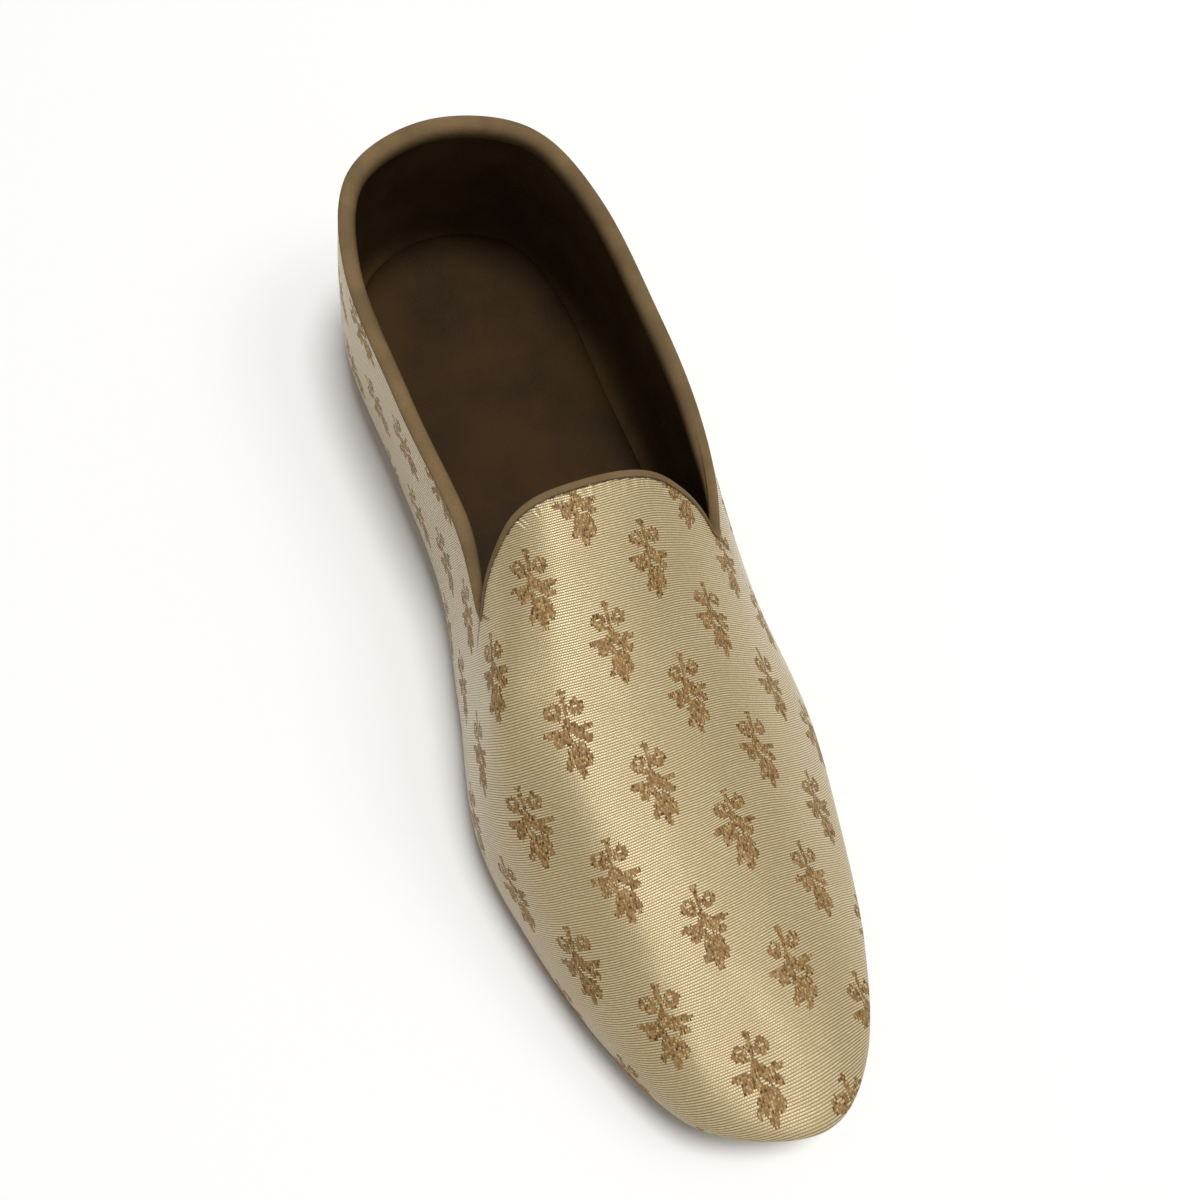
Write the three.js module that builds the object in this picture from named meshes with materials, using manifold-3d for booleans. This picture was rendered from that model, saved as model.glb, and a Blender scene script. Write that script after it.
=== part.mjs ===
// A mojari: a low slip-on shoe for the left foot, of brocade over a lining, on a thin leather
// sole with a low heel. Millimetres, +X to the toe, +Y to the outside of the foot, +Z up.
// The origin is on the floor, under the middle of the shoe.
import * as THREE from 'three';
import { mergeVertices } from 'three/addons/utils/BufferGeometryUtils.js';
import Module from 'manifold-3d';

const wasm = await Module();
wasm.setup();

// Driving dimensions. Places along the foot are measured from the back of the sole.
const SOLE_LENGTH = 285;
const BALL_WIDTH = 94.5;
const INSTEP_HEIGHT = 82;
const COLLAR_HEIGHT = 60;
const HEEL_HEIGHT = 6;
const HEEL_LENGTH = 85;
const HEEL_CORNER = 3;
const SOLE_THICKNESS = 3;
const SOLE_EDGE_ROUND = 0.7;
const TOE_SPRING = 8;
const WALL = 2;
const FEATHER_INSET = 1;
const FEATHER_HEIGHT = 9;
const INSOLE_THICKNESS = 2.5;
const NOTCH_AT = 142;
const THROAT_AT = 121;
const VAMP_BINDING_WIDTH = 2.6;
const COLLAR_BINDING_WIDTH = 2;
const BINDING_RELIEF = 0.3;
const GAP = 0.3;

// The sole's place on the floor, in shares of its length: the heel end of the arch, the two ends
// of the flat under the ball, where the toe spring starts.
const ARCH_START = 0.29;
const TREAD_START = 0.6;
const TREAD_END = 0.72;

// Fineness: ribs round the foot, steps up a rib, steps in the turn under its foot.
const RIBS = 100;
const RIB_STEPS = 14;
const TURN_STEPS = 4;
const COLLAR_STEPS = 36;
const VAMP_STEPS = 10;

// Sections of the last from heel to toe. at and crown are shares of the sole's length: where the
// section leaves the sole and where it meets the crown line. inner and outer are the sole's half
// widths, bulge is how far the upper stands out past the sole, and pinch is how far the wall is
// drawn in above that, all in shares of the ball's width. fold is how square the shoulder is.
const SECTIONS = [
//  at     inner  outer  bulgeIn bulgeOut pinchIn pinchOut crown foldIn foldOut
  [0.035, 0.265, 0.270, 0.024, 0.024, 0.000, 0.000, 0.20, 3.6, 3.6],
  [0.130, 0.366, 0.370, 0.036, 0.042, 0.000, 0.000, 0.24, 3.3, 3.4],
  [0.270, 0.341, 0.376, 0.060, 0.060, 0.000, 0.000, 0.30, 3.0, 3.2],
  [0.410, 0.317, 0.394, 0.085, 0.058, 0.010, 0.006, 0.40, 2.8, 2.6],
  [0.530, 0.411, 0.440, 0.062, 0.032, 0.012, 0.014, 0.50, 3.0, 1.95],
  [0.650, 0.529, 0.473, 0.026, 0.018, 0.012, 0.026, 0.60, 3.1, 1.8],
  [0.760, 0.505, 0.417, 0.012, 0.022, 0.010, 0.030, 0.70, 3.0, 1.9],
  [0.870, 0.419, 0.322, 0.010, 0.028, 0.006, 0.024, 0.79, 2.6, 2.0],
  [0.960, 0.275, 0.180, 0.009, 0.028, 0.004, 0.010, 0.85, 2.4, 2.1],
];
// The ends of the loop, at the back of the heel and the tip of the toe.
const HEEL_END = { bulge: 0.016, crown: 0.18, fold: 3.6 };
const TOE_END = { bulge: 0.009, crown: 0.87, fold: 2.3 };

// The crown line over the foot: at is a share of the length, height of the instep's height, and
// side, how far it lies to the outside, of the ball's width.
const CROWN = [
//  at    height side
  [0.15, 1.22, 0.00],
  [0.30, 1.18, -0.03],
  [0.42, 0.98, -0.09],
  [0.50, 0.89, -0.12],
  [0.60, 0.765, -0.15],
  [0.70, 0.63, -0.16],
  [0.80, 0.505, -0.13],
  [0.87, 0.415, -0.07],
  [0.93, 0.33, 0.00],
];
// How much of the crown's slope a rib loses by the time it comes down to the sole.
const SLOPE_LOST = 0.4;

// The collar's edge from the back of the heel to the notch. at is a share of the notch's place,
// height a share of the collar's height.
const COLLAR = [
//  at     height
  [-0.10, 1.04],
  [0.10, 1.03],
  [0.35, 0.975],
  [0.65, 0.935],
  [1.00, 0.94],
];
// The vamp's edge from the notch up to the throat. back is a share of the way from the notch to
// the throat, height a share of the instep's height.
const VAMP_EDGE = [
//  back  height
  [0.00, 0.69],
  [0.28, 0.755],
  [0.58, 0.85],
  [0.86, 0.965],
  [1.00, 1.08],
];

// Smooth interpolation of a table's other columns by its first one.
function smooth(rows, x) {
  const last = rows.length - 1;
  const slope = (i, c) => (rows[i + 1][c] - rows[i][c]) / (rows[i + 1][0] - rows[i][0]);
  const tangent = (i, c) => {
    if (i === 0) return slope(0, c);
    if (i === last) return slope(last - 1, c);
    const before = rows[i][0] - rows[i - 1][0];
    const after = rows[i + 1][0] - rows[i][0];
    return (slope(i - 1, c) * after + slope(i, c) * before) / (before + after);
  };
  const columns = rows[0].slice(1).map((_, k) => k + 1);
  if (x <= rows[0][0]) return columns.map((c) => rows[0][c] + (x - rows[0][0]) * tangent(0, c));
  if (x >= rows[last][0]) return columns.map((c) => rows[last][c] + (x - rows[last][0]) * tangent(last, c));
  const i = rows.findIndex((row, k) => k < last && x < rows[k + 1][0]);
  const span = rows[i + 1][0] - rows[i][0];
  const t = (x - rows[i][0]) / span;
  return columns.map((c) => (
    (2 * t ** 3 - 3 * t ** 2 + 1) * rows[i][c] + (t ** 3 - 2 * t ** 2 + t) * span * tangent(i, c)
    + (3 * t ** 2 - 2 * t ** 3) * rows[i + 1][c] + (t ** 3 - t ** 2) * span * tangent(i + 1, c)
  ));
}

// Height of the outsole's underside: up on the heel, flat on the floor at the ball, and rising
// again to the toe.
function underside(x) {
  const share = x / SOLE_LENGTH;
  const down = THREE.MathUtils.smoothstep(share, ARCH_START, TREAD_START);
  const spring = THREE.MathUtils.clamp((share - TREAD_END) / (1 - TREAD_END), 0, 1);
  return (HEEL_HEIGHT + GAP) * (1 - down) + TOE_SPRING * spring ** 2;
}
const soleTop = (x) => underside(x) + SOLE_THICKNESS;
const upperFoot = (x) => soleTop(x) + GAP;

// One loop round the foot: heel back, inner side forward, toe, outer side back. Two closed curves
// carry the plan and the rest of the columns, so a point and its mirror have one x and one crown.
const loop = [
  [0, 0, HEEL_END.bulge, 0, HEEL_END.crown, HEEL_END.fold],
  ...SECTIONS.map(([at, inner, , bulgeIn, , pinchIn, , crown, foldIn]) => (
    [at, -inner, bulgeIn, pinchIn, crown, foldIn])),
  [1, 0, TOE_END.bulge, 0, TOE_END.crown, TOE_END.fold],
  ...[...SECTIONS].reverse().map(([at, , outer, , bulgeOut, , pinchOut, crown, , foldOut]) => (
    [at, outer, bulgeOut, pinchOut, crown, foldOut])),
];
const closedCurve = (points) => new THREE.CatmullRomCurve3(points, true, 'catmullrom', 0.5);
const plan = closedCurve(loop.map((row) => new THREE.Vector3(row[0] * SOLE_LENGTH, row[1] * BALL_WIDTH, 0)));
const form = closedCurve(loop.map((row) => new THREE.Vector3(row[2], row[3], row[4])));
const folds = closedCurve(loop.map((row) => new THREE.Vector3(row[5], 0, 0)));

// Everything known of the loop at t: the sole's edge, the way out from it, and the columns.
function station(t) {
  const edge = plan.getPoint(t);
  const along = plan.getTangent(t);
  const out = new THREE.Vector3(along.y, -along.x, 0).normalize();
  const { x: bulge, y: pinch, z: crown } = form.getPoint(t);
  return {
    edge, out, crown, bulge: bulge * BALL_WIDTH, pinch: pinch * BALL_WIDTH, fold: folds.getPoint(t).x,
  };
}

// One rib of the last, from the sole's edge up to the crown line, grown by grow all over and
// reaching drop below the upper's foot.
function rib(t, grow, drop) {
  const { edge, out, crown, bulge, pinch, fold } = station(t);
  const [height, side] = smooth(CROWN, crown);
  const [ahead] = smooth(CROWN, crown + 0.01);
  const slope = (ahead - height) * INSTEP_HEIGHT / (0.01 * SOLE_LENGTH);
  const top = new THREE.Vector3(crown * SOLE_LENGTH, side * BALL_WIDTH, height * INSTEP_HEIGHT + grow);
  const foot = upperFoot(edge.x) - drop;
  const wide = upperFoot(edge.x) + FEATHER_HEIGHT;
  const widest = edge.clone().addScaledVector(out, bulge + grow);
  const reach = widest.clone().sub(top).setZ(0);
  const points = [];
  for (let k = 0; k < TURN_STEPS; k += 1) {
    const turn = (1 - k / TURN_STEPS) * Math.PI / 2;
    const inset = (bulge + FEATHER_INSET) * (1 - Math.cos(turn));
    points.push(widest.clone().addScaledVector(out, -inset).setZ(wide - (wide - foot) * Math.sin(turn)));
  }
  for (let k = 0; k <= RIB_STEPS; k += 1) {
    const rise = k / RIB_STEPS * Math.PI / 2;
    const across = k === RIB_STEPS ? 0 : Math.cos(rise) ** (2 / fold);
    const up = Math.sin(rise) ** (2 / fold);
    const roof = top.z + slope * reach.x * across * (1 - SLOPE_LOST * across);
    const point = top.clone().addScaledVector(reach, across).setZ(wide + (roof - wide) * up);
    const drawnIn = pinch * Math.sin(Math.PI * up) ** 2;
    points.push(point.addScaledVector(out, k === RIB_STEPS ? 0 : -drawnIn));
  }
  return points;
}

// A closed mesh of the last. Each rib meets its mirror at the crown line, and the foot is closed
// by strips across it.
function last(grow, drop) {
  const ribs = [];
  for (let i = 0; i < RIBS; i += 1) ribs.push(rib(i / RIBS, grow, drop));
  const triangles = [];
  const quad = (a, b, c, d) => triangles.push(a, c, b, a, d, c);
  const crownOf = (i) => ribs[Math.min(i, RIBS - i)].at(-1);
  for (let i = 0; i < RIBS; i += 1) {
    const next = (i + 1) % RIBS;
    const [here, there] = [[...ribs[i]], [...ribs[next]]];
    here[here.length - 1] = crownOf(i);
    there[there.length - 1] = crownOf(next);
    for (let k = 0; k + 1 < here.length; k += 1) quad(here[k], here[k + 1], there[k + 1], there[k]);
  }
  for (let i = 0; i < RIBS / 2; i += 1) {
    const mirror = (k) => ribs[(RIBS - k) % RIBS][0];
    quad(ribs[i][0], ribs[i + 1][0], mirror(i + 1), mirror(i));
  }
  return solidOf(triangles);
}

// A plate on the loop, set in from the sole's edge, between two heights that follow the length.
// Each ring is [inset, height function], from the lower face to the upper one.
function plate(rings) {
  const loops = rings.map(([inset, height]) => {
    const points = [];
    for (let i = 0; i < RIBS; i += 1) {
      const { edge, out } = station(i / RIBS);
      const point = edge.clone().addScaledVector(out, -inset);
      points.push(point.setZ(height(point.x)));
    }
    return points;
  });
  const triangles = [];
  const quad = (a, b, c, d) => triangles.push(a, c, b, a, d, c);
  const mirror = (points, k) => points[(RIBS - k) % RIBS];
  const [lowest, highest] = [loops[0], loops.at(-1)];
  for (let i = 0; i < RIBS; i += 1) {
    const next = (i + 1) % RIBS;
    for (let k = 0; k + 1 < loops.length; k += 1) {
      quad(loops[k][i], loops[k + 1][i], loops[k + 1][next], loops[k][next]);
    }
  }
  for (let i = 0; i < RIBS / 2; i += 1) {
    quad(lowest[i], lowest[i + 1], mirror(lowest, i + 1), mirror(lowest, i));
    quad(highest[i], mirror(highest, i), mirror(highest, i + 1), highest[i + 1]);
  }
  return solidOf(triangles);
}

// A solid for cutting and joining, from triangles whose faces point out.
function solidOf(triangles) {
  const geometry = new THREE.BufferGeometry().setFromPoints(triangles);
  return toSolid(geometry);
}
function toSolid(geometry) {
  geometry.deleteAttribute('normal');
  geometry.deleteAttribute('uv');
  const merged = mergeVertices(geometry, 1e-4);
  const index = merged.index.array;
  const kept = [];
  for (let i = 0; i < index.length; i += 3) {
    const [a, b, c] = [index[i], index[i + 1], index[i + 2]];
    if (a !== b && b !== c && c !== a) kept.push(a, b, c);
  }
  return new wasm.Manifold(new wasm.Mesh({
    numProp: 3, vertProperties: merged.attributes.position.array, triVerts: new Uint32Array(kept),
  }));
}
function toGeometry(solid) {
  const { vertProperties, triVerts } = solid.getMesh();
  const geometry = new THREE.BufferGeometry();
  geometry.setAttribute('position', new THREE.BufferAttribute(new Float32Array(vertProperties), 3));
  geometry.setIndex(new THREE.BufferAttribute(new Uint32Array(triVerts), 1));
  return geometry;
}

// A prism right across the foot, from an outline of [x, z] points in the side view.
function prism(outline) {
  const depth = 2 * BALL_WIDTH;
  const shape = new THREE.Shape(outline.map(([x, z]) => new THREE.Vector2(x, z)));
  const geometry = new THREE.ExtrudeGeometry(shape, { depth, bevelEnabled: false, steps: 1 });
  geometry.rotateX(Math.PI / 2);
  geometry.translate(0, depth / 2, 0);
  return toSolid(geometry);
}

// The collar's edge and the vamp's edge in the side view, moved into the cloth by inset. They meet
// at the notch, where each is run on as far as the other one moves it.
const VAMP_SLOPE = (NOTCH_AT - THROAT_AT) / ((VAMP_EDGE.at(-1)[1] - VAMP_EDGE[0][1]) * INSTEP_HEIGHT);
const notchHeight = smooth(COLLAR, 1)[0] * COLLAR_HEIGHT;
function collarEdge(collarInset, vampInset) {
  const forward = vampInset * Math.hypot(1, VAMP_SLOPE) + collarInset * VAMP_SLOPE;
  const points = [];
  for (let k = 0; k <= COLLAR_STEPS; k += 1) {
    const at = THREE.MathUtils.lerp(COLLAR[0][0], 1, k / COLLAR_STEPS);
    const x = at * NOTCH_AT + forward * THREE.MathUtils.clamp(at, 0, 1) ** 8;
    points.push([x, smooth(COLLAR, at)[0] * COLLAR_HEIGHT - collarInset]);
  }
  return points;
}
function vampEdge(collarInset, vampInset) {
  const forward = vampInset * Math.hypot(1, VAMP_SLOPE);
  const start = collarEdge(collarInset, vampInset).at(-1);
  const lift = VAMP_EDGE[0][1] * INSTEP_HEIGHT - notchHeight;
  const points = [start];
  for (let k = 1; k <= VAMP_STEPS; k += 1) {
    const back = k / VAMP_STEPS;
    const height = smooth(VAMP_EDGE, back)[0] * INSTEP_HEIGHT - lift;
    points.push([THREE.MathUtils.lerp(NOTCH_AT, THROAT_AT, back) + forward, height]);
  }
  return points;
}
// The opening above the collar and behind the vamp.
function opening(collarInset, vampInset) {
  const above = 2 * INSTEP_HEIGHT;
  const edge = [...collarEdge(collarInset, vampInset), ...vampEdge(collarInset, vampInset).slice(1)];
  return prism([...edge, [edge.at(-1)[0], above], [edge[0][0], above]]);
}

// The upper: one hollow wall, open at the collar and underneath.
function upper() {
  const shell = last(0, 0).subtract(last(-WALL, WALL));
  return shell.subtract(opening(COLLAR_BINDING_WIDTH + GAP, VAMP_BINDING_WIDTH + GAP));
}

// The bindings: the same wall, a little thicker, in a narrow band along each edge.
function binding(edge, insetEdge) {
  const rope = last(BINDING_RELIEF, 0).subtract(last(-WALL - BINDING_RELIEF, WALL));
  return rope.intersect(prism([...edge, ...insetEdge.reverse()]));
}
const bindingInsets = [COLLAR_BINDING_WIDTH, VAMP_BINDING_WIDTH];
// An edge whose first point is moved along it by the gap, so that the bindings stop clear of each
// other at the notch.
function shorten([start, next, ...rest]) {
  const share = GAP / Math.hypot(next[0] - start[0], next[1] - start[1]);
  const moved = [0, 1].map((axis) => THREE.MathUtils.lerp(start[axis], next[axis], share));
  return [moved, next, ...rest];
}
function collarBinding() {
  const fromNotch = (...insets) => shorten(collarEdge(...insets).reverse());
  return binding(fromNotch(0, 0), fromNotch(...bindingInsets));
}
function vampBinding() {
  const fromNotch = (...insets) => shorten(vampEdge(...insets));
  return binding(fromNotch(0, 0), fromNotch(...bindingInsets));
}

function outsole() {
  return plate([
    [SOLE_EDGE_ROUND, underside],
    [0, (x) => underside(x) + SOLE_EDGE_ROUND],
    [0, (x) => soleTop(x) - SOLE_EDGE_ROUND],
    [SOLE_EDGE_ROUND, soleTop],
  ]);
}

// The heel lift: a low block with the sole's outline and a straight front with cut corners.
function heelLift() {
  const block = plate([[0, () => 0], [0, () => HEEL_HEIGHT]]);
  const [innerY, outerY] = heelCorners();
  const cornerStart = HEEL_LENGTH - HEEL_CORNER;
  const outline = new THREE.Shape([
    [-BALL_WIDTH, -BALL_WIDTH], [cornerStart, -BALL_WIDTH], [cornerStart, innerY],
    [HEEL_LENGTH, innerY + HEEL_CORNER], [HEEL_LENGTH, outerY - HEEL_CORNER],
    [cornerStart, outerY], [cornerStart, BALL_WIDTH], [-BALL_WIDTH, BALL_WIDTH],
  ].map(([x, y]) => new THREE.Vector2(x, y)));
  const keep = new THREE.ExtrudeGeometry(outline, { depth: 3 * HEEL_HEIGHT, bevelEnabled: false });
  keep.translate(0, 0, -HEEL_HEIGHT);
  return block.intersect(toSolid(keep));
}
// The inner and outer y of the sole's edge at the heel's front.
function heelCorners() {
  const halvings = 40;
  return [0, 1].map((heelEnd) => {
    let [behind, ahead] = [heelEnd, 0.5];
    for (let k = 0; k < halvings; k += 1) {
      const middle = (behind + ahead) / 2;
      if (plan.getPoint(middle).x < HEEL_LENGTH) behind = middle;
      else ahead = middle;
    }
    return plan.getPoint(behind).y;
  });
}

function insole() {
  const inset = FEATHER_INSET + WALL + 2 * GAP;
  return plate([[inset, upperFoot], [inset, (x) => upperFoot(x) + INSOLE_THICKNESS]]);
}

// Plain colours of the pieces.
const FINISH = {
  leather: { color: 0xd9caa2, roughness: 0.7, metalness: 0 },
  rubber: { color: 0x94602f, roughness: 0.75, metalness: 0 },
  brocade: { color: 0xc4b083, roughness: 0.45, metalness: 0.15 },
  binding: { color: 0x8c7350, roughness: 0.7, metalness: 0 },
  lining: { color: 0x55432c, roughness: 0.8, metalness: 0 },
};
function piece(name, solid, finish) {
  const mesh = new THREE.Mesh(toGeometry(solid), new THREE.MeshStandardMaterial(FINISH[finish]));
  mesh.name = name;
  return mesh;
}

const shoe = new THREE.Group();
shoe.add(
  piece('outsole', outsole(), 'leather'),
  piece('heel', heelLift(), 'rubber'),
  piece('upper', upper(), 'brocade'),
  piece('vamp_binding', vampBinding(), 'binding'),
  piece('collar_binding', collarBinding(), 'binding'),
  piece('insole', insole(), 'lining'),
);
// The floor's point under the middle of the shoe becomes the origin.
const box = new THREE.Box3().setFromObject(shoe);
const centre = box.getCenter(new THREE.Vector3());
shoe.position.set(-centre.x, -centre.y, -box.min.z);

export default shoe;
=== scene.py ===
# A brocade mojari for the left foot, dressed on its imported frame. The shape is worked out in
# millimetres from the back of the sole, as in the CAD source, and put in the row frame in metres.
import math

import bmesh
import bpy
import numpy as np
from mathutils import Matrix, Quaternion, Vector


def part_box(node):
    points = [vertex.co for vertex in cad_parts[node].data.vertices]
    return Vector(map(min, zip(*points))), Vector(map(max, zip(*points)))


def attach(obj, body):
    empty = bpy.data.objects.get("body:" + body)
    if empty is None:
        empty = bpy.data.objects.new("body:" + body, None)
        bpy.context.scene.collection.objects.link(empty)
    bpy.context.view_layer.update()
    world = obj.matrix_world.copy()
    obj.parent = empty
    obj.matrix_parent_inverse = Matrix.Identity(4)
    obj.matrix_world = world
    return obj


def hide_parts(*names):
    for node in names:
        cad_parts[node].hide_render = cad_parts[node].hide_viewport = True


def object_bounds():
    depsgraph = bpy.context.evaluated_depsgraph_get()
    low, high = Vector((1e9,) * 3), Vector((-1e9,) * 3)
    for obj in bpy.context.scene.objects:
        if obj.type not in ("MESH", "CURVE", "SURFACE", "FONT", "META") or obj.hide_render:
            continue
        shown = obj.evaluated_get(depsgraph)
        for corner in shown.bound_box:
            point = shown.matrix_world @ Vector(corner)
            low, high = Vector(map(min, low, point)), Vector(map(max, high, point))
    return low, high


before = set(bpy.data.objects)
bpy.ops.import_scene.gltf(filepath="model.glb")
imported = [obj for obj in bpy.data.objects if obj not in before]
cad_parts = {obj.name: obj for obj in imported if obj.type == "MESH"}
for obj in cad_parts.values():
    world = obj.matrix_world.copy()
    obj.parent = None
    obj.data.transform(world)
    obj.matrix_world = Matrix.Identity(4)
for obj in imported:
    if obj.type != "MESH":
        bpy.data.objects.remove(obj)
cad_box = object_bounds()

# Driving dimensions, as in the CAD source.
SOLE_LENGTH = 285
BALL_WIDTH = 94.5
INSTEP_HEIGHT = 82
COLLAR_HEIGHT = 60
HEEL_HEIGHT = 6
HEEL_LENGTH = 85
HEEL_CORNER = 3
SOLE_THICKNESS = 3
TOE_SPRING = 8
WALL = 2
FEATHER_INSET = 1
FEATHER_HEIGHT = 9
INSOLE_THICKNESS = 2.5
NOTCH_AT = 142
THROAT_AT = 121
BINDING_RELIEF = 0.3
GAP = 0.3
# The cloth comes down this much further than the solid upper, almost to the sole.
FOOT_REACH = GAP * 0.8
ARCH_START = 0.29
TREAD_START = 0.6
TREAD_END = 0.72

# Sections of the last from heel to toe, in shares of the sole's length and the ball's width.
SECTIONS = [
    # at, inner, outer, bulge in, bulge out, pinch in, pinch out, crown, fold in, fold out
    (0.035, 0.265, 0.270, 0.024, 0.024, 0.000, 0.000, 0.20, 3.6, 3.6),
    (0.130, 0.366, 0.370, 0.036, 0.042, 0.000, 0.000, 0.24, 3.3, 3.4),
    (0.270, 0.341, 0.376, 0.060, 0.060, 0.000, 0.000, 0.30, 3.0, 3.2),
    (0.410, 0.317, 0.394, 0.085, 0.058, 0.010, 0.006, 0.40, 2.8, 2.6),
    (0.530, 0.411, 0.440, 0.062, 0.032, 0.012, 0.014, 0.50, 3.0, 1.95),
    (0.650, 0.529, 0.473, 0.026, 0.018, 0.012, 0.026, 0.60, 3.1, 1.8),
    (0.760, 0.505, 0.417, 0.012, 0.022, 0.010, 0.030, 0.70, 3.0, 1.9),
    (0.870, 0.419, 0.322, 0.010, 0.028, 0.006, 0.024, 0.79, 2.6, 2.0),
    (0.960, 0.275, 0.180, 0.009, 0.028, 0.004, 0.010, 0.85, 2.4, 2.1),
]
# The ends of the loop: at, y, bulge, pinch, crown, fold.
HEEL_END = (0, 0, 0.016, 0, 0.18, 3.6)
TOE_END = (1, 0, 0.009, 0, 0.87, 2.3)
# The crown line: at, height, side.
CROWN = [
    (0.15, 1.22, 0.00), (0.30, 1.18, -0.03), (0.42, 0.98, -0.09), (0.50, 0.89, -0.12),
    (0.60, 0.765, -0.15), (0.70, 0.63, -0.16), (0.80, 0.505, -0.13), (0.87, 0.415, -0.07),
    (0.93, 0.33, 0.00),
]
CROWN_STEP = 0.01
SLOPE_LOST = 0.4
# The collar's edge (share of the notch's place, share of the collar's height) and the vamp's edge
# (share of the way back to the throat, share of the instep's height).
COLLAR = [(-0.10, 1.04), (0.10, 1.03), (0.35, 0.975), (0.65, 0.935), (1.00, 0.94)]
VAMP_EDGE = [(0.00, 0.69), (0.28, 0.755), (0.58, 0.85), (0.86, 0.965), (1.00, 1.08)]

# The brocade's weave in millimetres.
RIB_PITCH = 0.63
DASH_LENGTH = 0.62
MOTIF_ACROSS = 15.85
MOTIF_ALONG = 35.5

# Fineness: ribs round the foot and points up a rib of the cloth, the lining and the topline's
# surface; points in a rib's turn and rise before they are spaced evenly; points round the sole,
# round a binding's section and along the handwritten figure; the topline's step in millimetres and
# the passes that smooth it; and points round the sole where it is only measured.
CLOTH_RIBS, CLOTH_STEPS = 600, 72
LINING_RIBS, LINING_STEPS = 300, 48
EDGE_RIBS, EDGE_STEPS = 300, 90
TURN_POINTS, RISE_POINTS = 24, 240
SOLE_POINTS = 400
SECTION_POINTS = 40
FIGURE_POINTS = 260
LINE_STEP = 0.8
LINE_PASSES = 6
DENSE_POINTS = 2000


# Shape

def smooth(rows, x):
    """The table's other columns at x, interpolated smoothly by its first column."""
    rows = np.asarray(rows, float)
    at, values = rows[:, 0], rows[:, 1:]
    x = np.asarray(x, float)
    span = np.diff(at)
    slope = np.diff(values, axis=0) / span[:, None]
    tangent = np.empty_like(values)
    tangent[0], tangent[-1] = slope[0], slope[-1]
    weight = (span[:-1] + span[1:])[:, None]
    tangent[1:-1] = (slope[:-1] * span[1:, None] + slope[1:] * span[:-1, None]) / weight
    i = np.clip(np.searchsorted(at, x, side="right") - 1, 0, len(span) - 1)
    reach = span[i][..., None]
    t = (x - at[i])[..., None] / reach
    inside = (
        (2 * t**3 - 3 * t**2 + 1) * values[i] + (t**3 - 2 * t**2 + t) * reach * tangent[i]
        + (3 * t**2 - 2 * t**3) * values[i + 1] + (t**3 - t**2) * reach * tangent[i + 1]
    )
    below = values[0] + (x - at[0])[..., None] * tangent[0]
    above = values[-1] + (x - at[-1])[..., None] * tangent[-1]
    inside = np.where((x < at[0])[..., None], below, inside)
    return np.where((x > at[-1])[..., None], above, inside)


def closed_curve(points, t):
    """Places and slopes at t, from 0 to 1, of a closed Catmull-Rom curve through points."""
    points = np.asarray(points, float)
    spot = (np.asarray(t, float) % 1) * len(points)
    i = np.floor(spot).astype(int)
    f = (spot - i)[..., None]
    before, start, end, after = (points[(i + k) % len(points)] for k in (-1, 0, 1, 2))
    leave, arrive = (end - before) / 2, (after - start) / 2
    place = (
        (2 * f**3 - 3 * f**2 + 1) * start + (f**3 - 2 * f**2 + f) * leave
        + (3 * f**2 - 2 * f**3) * end + (f**3 - f**2) * arrive
    )
    slope = (
        (6 * f**2 - 6 * f) * (start - end) + (3 * f**2 - 4 * f + 1) * leave
        + (3 * f**2 - 2 * f) * arrive
    )
    return place, slope


inner_rows = [(s[0], -s[1], s[3], s[5], s[7], s[8]) for s in SECTIONS]
outer_rows = [(s[0], s[2], s[4], s[6], s[7], s[9]) for s in reversed(SECTIONS)]
LOOP = np.array([HEEL_END, *inner_rows, TOE_END, *outer_rows])
LOOP_SIZE = np.array([SOLE_LENGTH, BALL_WIDTH, BALL_WIDTH, BALL_WIDTH, 1, 1])


def station(t):
    """The sole's edge at t, the way out from it, and bulge, pinch, crown and fold there."""
    place, slope = closed_curve(LOOP * LOOP_SIZE, t)
    out = np.stack([slope[..., 1], -slope[..., 0]], axis=-1)
    out /= np.linalg.norm(out, axis=-1, keepdims=True)
    return place[..., :2], out, place[..., 2], place[..., 3], place[..., 4], place[..., 5]


def smoothstep(x, low, high):
    t = np.clip((x - low) / (high - low), 0, 1)
    return t * t * (3 - 2 * t)


def underside(x):
    """Height of the outsole's underside at x."""
    share = np.asarray(x) / SOLE_LENGTH
    spring = np.clip((share - TREAD_END) / (1 - TREAD_END), 0, 1)
    return (HEEL_HEIGHT + GAP) * (1 - smoothstep(share, ARCH_START, TREAD_START)) + TOE_SPRING * spring**2


def sole_top(x):
    return underside(x) + SOLE_THICKNESS


def upper_foot(x):
    return sole_top(x) + GAP


def even_steps(points, count):
    """Each row of points made into count points, evenly spaced along it."""
    length = np.linalg.norm(np.diff(points, axis=1), axis=2).cumsum(axis=1)
    length = np.concatenate([np.zeros((len(points), 1)), length], axis=1)
    result = np.empty((len(points), count, 3))
    for row, far, line in zip(result, length, points):
        want = np.linspace(0, far[-1], count)
        for axis in range(3):
            row[:, axis] = np.interp(want, far, line[:, axis])
    return result


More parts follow.
